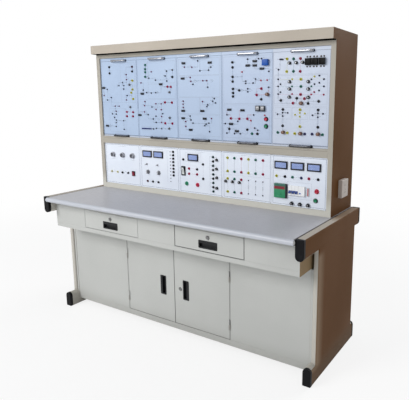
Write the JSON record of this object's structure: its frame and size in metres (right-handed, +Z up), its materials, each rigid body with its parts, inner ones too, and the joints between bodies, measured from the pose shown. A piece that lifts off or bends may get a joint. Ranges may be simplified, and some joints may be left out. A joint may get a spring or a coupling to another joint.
{
  "type": "power electronics trainer",
  "caption": "Laboratory bench for teaching power electronics: a steel desk with drawers and a cabinet, under an upright console of pull-out circuit modules and supply panels.",
  "frame": {"origin": "on the floor, under the middle of the whole trainer's box", "axes": "+X to the user's right, -Y to the front where the user stands, +Z up"},
  "size_m": [1.78, 0.764, 1.7],
  "materials": {
    "two_tone_frame": "satin",
    "black_cap": "matte",
    "desk_laminate": "satin",
    "white_enamel": "satin",
    "dark_pull": "satin",
    "lock_chrome": "polished",
    "hinge_steel": "brushed",
    "console_paint": "satin",
    "transformer_core": "matte",
    "power_panel_face": "satin",
    "module_face": "satin",
    "meter_bezel": "gloss",
    "terminal_plastic": "gloss",
    "connector_metal": "polished",
    "breaker_case": "satin",
    "breaker_lever": "gloss",
    "relay_case": "gloss",
    "socket_box_plastic": "satin",
    "handle_chrome": "polished",
    "knob_black": "gloss",
    "knob_brown": "gloss",
    "button_red": "gloss",
    "button_green": "gloss",
    "rocker_plastic": "gloss",
    "rocker_white": "gloss"
  },
  "bodies": {
    "desk_and_console": {"side_frames": "two_tone_frame", "end_caps": "black_cap", "desk_top": "desk_laminate", "drawer_housing": "white_enamel", "cabinet_shell": "white_enamel", "door_hinges": "hinge_steel", "console_shell": "console_paint", "console_frame": "console_paint", "header_hood": "console_paint", "isolating_transformer": "transformer_core", "power_panels": "power_panel_face", "panel_meters": "meter_bezel", "panel_terminals": "terminal_plastic", "motor_connectors": "connector_metal", "breaker_body": "breaker_case", "protection_relay": "relay_case", "side_socket_box": "socket_box_plastic"},
    "left_drawer": {"left_drawer": "white_enamel", "left_drawer_pull": "dark_pull"},
    "right_drawer": {"right_drawer": "white_enamel", "right_drawer_pull": "dark_pull"},
    "left_door": {"left_door": "white_enamel", "left_door_pull": "dark_pull"},
    "right_door": {"right_door": "white_enamel", "right_door_pull": "dark_pull"},
    "module_1": {"module_1": "module_face", "module_1_handles": "handle_chrome", "module_1_terminals": "terminal_plastic"},
    "module_2": {"module_2": "module_face", "module_2_handles": "handle_chrome", "module_2_terminals": "terminal_plastic"},
    "module_3": {"module_3": "module_face", "module_3_handles": "handle_chrome"},
    "module_4": {"module_4": "module_face", "module_4_handles": "handle_chrome", "module_4_terminals": "terminal_plastic"},
    "module_5": {"module_5": "module_face", "module_5_handles": "handle_chrome", "module_5_terminals": "terminal_plastic"},
    "left_drawer_lock": {"left_drawer_lock": "lock_chrome"},
    "right_drawer_lock": {"right_drawer_lock": "lock_chrome"},
    "door_lock": {"door_lock": "lock_chrome"},
    "breaker_lever": {"breaker_lever": "breaker_lever"},
    "motor_panel_rocker": {"motor_panel_rocker": "rocker_plastic"},
    "range_rocker": {"range_rocker": "rocker_white"},
    "left_supply_toggle": {"left_supply_toggle": "lock_chrome"},
    "right_supply_toggle": {"right_supply_toggle": "lock_chrome"},
    "left_supply_knob": {"left_supply_knob": "knob_black"},
    "right_supply_knob": {"right_supply_knob": "knob_black"},
    "mains_stop_button": {"mains_stop_button": "button_red"},
    "mains_start_button": {"mains_start_button": "button_green"},
    "output_run_button": {"output_run_button": "button_green"},
    "output_halt_button": {"output_halt_button": "button_red"},
    "module_4_reset_button": {"module_4_reset_button": "button_red"},
    "module_4_trigger_button": {"module_4_trigger_button": "button_green"},
    "setpoint_knob": {"setpoint_knob": "knob_brown"},
    "load_knob_1": {"load_knob_1": "knob_brown"},
    "load_knob_2": {"load_knob_2": "knob_brown"},
    "load_knob_3": {"load_knob_3": "knob_brown"},
    "load_knob_4": {"load_knob_4": "knob_brown"}
  },
  "joints": [
    {"name": "left_drawer_slide", "type": "slide", "parent": "desk_and_console", "child": "left_drawer", "axis": [0, -1, 0], "range_m": [0, 0.35]},
    {"name": "right_drawer_slide", "type": "slide", "parent": "desk_and_console", "child": "right_drawer", "axis": [0, -1, 0], "range_m": [0, 0.35]},
    {"name": "left_door_hinge", "type": "hinge", "parent": "desk_and_console", "child": "left_door", "pos_m": [-0.375, -0.1785, 0.3], "axis": [0, 0, -1], "range_deg": [0, 110]},
    {"name": "right_door_hinge", "type": "hinge", "parent": "desk_and_console", "child": "right_door", "pos_m": [0.375, -0.1785, 0.3], "axis": [0, 0, 1], "range_deg": [0, 110]},
    {"name": "module_1_slide", "type": "slide", "parent": "desk_and_console", "child": "module_1", "axis": [0, -1, 0], "range_m": [0, 0.08]},
    {"name": "module_2_slide", "type": "slide", "parent": "desk_and_console", "child": "module_2", "axis": [0, -1, 0], "range_m": [0, 0.08]},
    {"name": "module_3_slide", "type": "slide", "parent": "desk_and_console", "child": "module_3", "axis": [0, -1, 0], "range_m": [0, 0.08]},
    {"name": "module_4_slide", "type": "slide", "parent": "desk_and_console", "child": "module_4", "axis": [0, -1, 0], "range_m": [0, 0.08]},
    {"name": "module_5_slide", "type": "slide", "parent": "desk_and_console", "child": "module_5", "axis": [0, -1, 0], "range_m": [0, 0.08]},
    {"name": "left_drawer_lock_turn", "type": "hinge", "parent": "left_drawer", "child": "left_drawer_lock", "pos_m": [-0.366, -0.307, 0.677], "axis": [0, -1, 0], "range_deg": [0, 90]},
    {"name": "right_drawer_lock_turn", "type": "hinge", "parent": "right_drawer", "child": "right_drawer_lock", "pos_m": [0.334, -0.307, 0.677], "axis": [0, -1, 0], "range_deg": [0, 90]},
    {"name": "door_lock_turn", "type": "hinge", "parent": "right_door", "child": "door_lock", "pos_m": [0.036, -0.1745, 0.289], "axis": [0, 1, 0], "range_deg": [0, 90]},
    {"name": "breaker_lever_tilt", "type": "hinge", "parent": "desk_and_console", "child": "breaker_lever", "pos_m": [0.622, 0.0755, 0.88], "axis": [-1, 0, 0], "range_deg": [0, 60]},
    {"name": "motor_panel_rocker_tilt", "type": "hinge", "parent": "desk_and_console", "child": "motor_panel_rocker", "pos_m": [-0.55, 0.081, 0.878], "axis": [-1, 0, 0], "range_deg": [0, 20]},
    {"name": "range_rocker_tilt", "type": "hinge", "parent": "desk_and_console", "child": "range_rocker", "pos_m": [-0.128, 0.081, 0.931], "axis": [-1, 0, 0], "range_deg": [0, 20]},
    {"name": "left_supply_toggle_tilt", "type": "hinge", "parent": "desk_and_console", "child": "left_supply_toggle", "pos_m": [-0.429, 0.0777, 0.95], "axis": [-1, 0, 0], "range_deg": [0, 24]},
    {"name": "right_supply_toggle_tilt", "type": "hinge", "parent": "desk_and_console", "child": "right_supply_toggle", "pos_m": [-0.338, 0.0777, 0.95], "axis": [-1, 0, 0], "range_deg": [0, 24]},
    {"name": "left_supply_knob_turn", "type": "hinge", "parent": "desk_and_console", "child": "left_supply_knob", "pos_m": [-0.421, 0.0825, 0.901], "axis": [0, 1, 0], "range_deg": [-135, 135]},
    {"name": "right_supply_knob_turn", "type": "hinge", "parent": "desk_and_console", "child": "right_supply_knob", "pos_m": [-0.33, 0.0825, 0.901], "axis": [0, 1, 0], "range_deg": [-135, 135]},
    {"name": "mains_stop_press", "type": "slide", "parent": "desk_and_console", "child": "mains_stop_button", "axis": [0, 1, 0], "range_m": [0, 0.0025], "stiffness_N_per_m": 300},
    {"name": "mains_start_press", "type": "slide", "parent": "desk_and_console", "child": "mains_start_button", "axis": [0, 1, 0], "range_m": [0, 0.0025], "stiffness_N_per_m": 300},
    {"name": "output_run_press", "type": "slide", "parent": "desk_and_console", "child": "output_run_button", "axis": [0, 1, 0], "range_m": [0, 0.0025], "stiffness_N_per_m": 300},
    {"name": "output_halt_press", "type": "slide", "parent": "desk_and_console", "child": "output_halt_button", "axis": [0, 1, 0], "range_m": [0, 0.0025], "stiffness_N_per_m": 300},
    {"name": "module_4_reset_press", "type": "slide", "parent": "module_4", "child": "module_4_reset_button", "axis": [0, 1, 0], "range_m": [0, 0.0025], "stiffness_N_per_m": 300},
    {"name": "module_4_trigger_press", "type": "slide", "parent": "module_4", "child": "module_4_trigger_button", "axis": [0, 1, 0], "range_m": [0, 0.0025], "stiffness_N_per_m": 300},
    {"name": "setpoint_knob_turn", "type": "hinge", "parent": "module_4", "child": "setpoint_knob", "pos_m": [0.456, 0.0825, 1.389], "axis": [0, 1, 0], "range_deg": [0, 270]},
    {"name": "load_knob_1_turn", "type": "hinge", "parent": "module_5", "child": "load_knob_1", "pos_m": [0.654, 0.0825, 1.344], "axis": [0, 1, 0], "range_deg": [0, 270]},
    {"name": "load_knob_2_turn", "type": "hinge", "parent": "module_5", "child": "load_knob_2", "pos_m": [0.554, 0.0825, 1.192], "axis": [0, 1, 0], "range_deg": [0, 270]},
    {"name": "load_knob_3_turn", "type": "hinge", "parent": "module_5", "child": "load_knob_3", "pos_m": [0.654, 0.0825, 1.189], "axis": [0, 1, 0], "range_deg": [0, 270]},
    {"name": "load_knob_4_turn", "type": "hinge", "parent": "module_5", "child": "load_knob_4", "pos_m": [0.752, 0.0825, 1.19], "axis": [0, 1, 0], "range_deg": [0, 270]}
  ]
}
